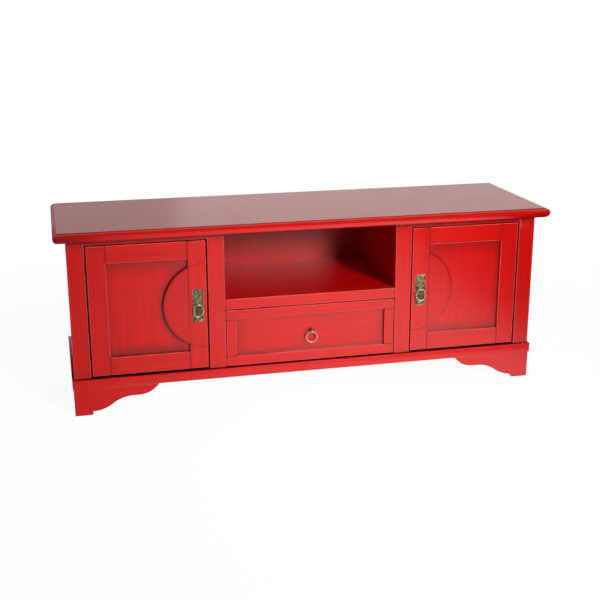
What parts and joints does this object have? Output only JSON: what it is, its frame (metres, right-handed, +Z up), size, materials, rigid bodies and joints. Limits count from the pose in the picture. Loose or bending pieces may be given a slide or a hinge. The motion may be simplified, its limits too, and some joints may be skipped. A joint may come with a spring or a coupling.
{
  "type": "tv cabinet",
  "caption": "Low red-lacquered TV cabinet with half-moon panel doors, an open bay over a drawer, brass ring pulls and scalloped bracket feet.",
  "frame": {"origin": "middle of the footprint on the floor", "axes": "+X along the front to the right, +Y to the back, +Z up"},
  "size_m": [1.5, 0.45, 0.558],
  "materials": {
    "red_lacquer_wood": "satin red lacquer with dark glaze",
    "plain_wood": "sealed",
    "antique_brass": "antique",
    "bush_brass": "turned and darkened",
    "pivot_steel": "blackened",
    "catch_plastic": "brown"
  },
  "bodies": {
    "carcass": {"back_panel": "red_lacquer_wood", "bottom_board": "red_lacquer_wood", "corner_blocks": "red_lacquer_wood", "door_catches": "catch_plastic", "drawer_runners": "plain_wood", "front_plinth_moulding": "red_lacquer_wood", "left_divider": "red_lacquer_wood", "left_front_bracket": "red_lacquer_wood", "left_inner_stile": "red_lacquer_wood", "left_outer_stile": "red_lacquer_wood", "left_plinth_moulding": "red_lacquer_wood", "left_side_panel": "red_lacquer_wood", "left_side_skirt": "red_lacquer_wood", "left_top_rail": "red_lacquer_wood", "pivot_bushes": "bush_brass", "rear_rail": "red_lacquer_wood", "right_divider": "red_lacquer_wood", "right_front_bracket": "red_lacquer_wood", "right_inner_stile": "red_lacquer_wood", "right_outer_stile": "red_lacquer_wood", "right_plinth_moulding": "red_lacquer_wood", "right_side_panel": "red_lacquer_wood", "right_side_skirt": "red_lacquer_wood", "right_top_rail": "red_lacquer_wood", "shelf_board": "red_lacquer_wood", "shelf_rail": "red_lacquer_wood", "top_board": "red_lacquer_wood"},
    "left_door": {"left_door_bottom_rail": "red_lacquer_wood", "left_door_handle_plate": "antique_brass", "left_door_handle_stile": "red_lacquer_wood", "left_door_hinge_stile": "red_lacquer_wood", "left_door_moon": "red_lacquer_wood", "left_door_panel": "red_lacquer_wood", "left_door_pivot_pins": "pivot_steel", "left_door_ring_post": "antique_brass", "left_door_strike_plate": "pivot_steel", "left_door_top_rail": "red_lacquer_wood"},
    "right_door": {"right_door_bottom_rail": "red_lacquer_wood", "right_door_handle_plate": "antique_brass", "right_door_handle_stile": "red_lacquer_wood", "right_door_hinge_stile": "red_lacquer_wood", "right_door_moon": "red_lacquer_wood", "right_door_panel": "red_lacquer_wood", "right_door_pivot_pins": "pivot_steel", "right_door_ring_post": "antique_brass", "right_door_strike_plate": "pivot_steel", "right_door_top_rail": "red_lacquer_wood"},
    "drawer": {"drawer_back": "plain_wood", "drawer_bottom_rail": "red_lacquer_wood", "drawer_floor": "plain_wood", "drawer_panel": "red_lacquer_wood", "drawer_ring_post": "antique_brass", "drawer_top_rail": "red_lacquer_wood", "left_drawer_side": "plain_wood", "left_drawer_stile": "red_lacquer_wood", "right_drawer_side": "plain_wood", "right_drawer_stile": "red_lacquer_wood"},
    "left_door_ring": {"left_door_ring": "antique_brass"},
    "right_door_ring": {"right_door_ring": "antique_brass"},
    "drawer_ring": {"drawer_ring": "antique_brass"}
  },
  "joints": [
    {"name": "left_door_hinge", "type": "hinge", "parent": "carcass", "child": "left_door", "pos_m": [-0.6515, -0.184, 0.3145], "axis": [0, 0, -1], "range_deg": [0, 110]},
    {"name": "right_door_hinge", "type": "hinge", "parent": "carcass", "child": "right_door", "pos_m": [0.6515, -0.184, 0.3145], "axis": [0, 0, 1], "range_deg": [0, 110]},
    {"name": "drawer_slide", "type": "slide", "parent": "carcass", "child": "drawer", "axis": [0, -1, 0], "range_m": [0, 0.28]},
    {"name": "left_door_ring_swing", "type": "hinge", "parent": "left_door", "child": "left_door_ring", "pos_m": [-0.3455, -0.199, 0.3185], "axis": [-1, 0, 0], "range_deg": [-6, 165]},
    {"name": "right_door_ring_swing", "type": "hinge", "parent": "right_door", "child": "right_door_ring", "pos_m": [0.3455, -0.199, 0.3185], "axis": [-1, 0, 0], "range_deg": [-6, 165]},
    {"name": "drawer_ring_swing", "type": "hinge", "parent": "drawer", "child": "drawer_ring", "pos_m": [0, -0.193, 0.2075], "axis": [-1, 0, 0], "range_deg": [-6, 165]}
  ]
}
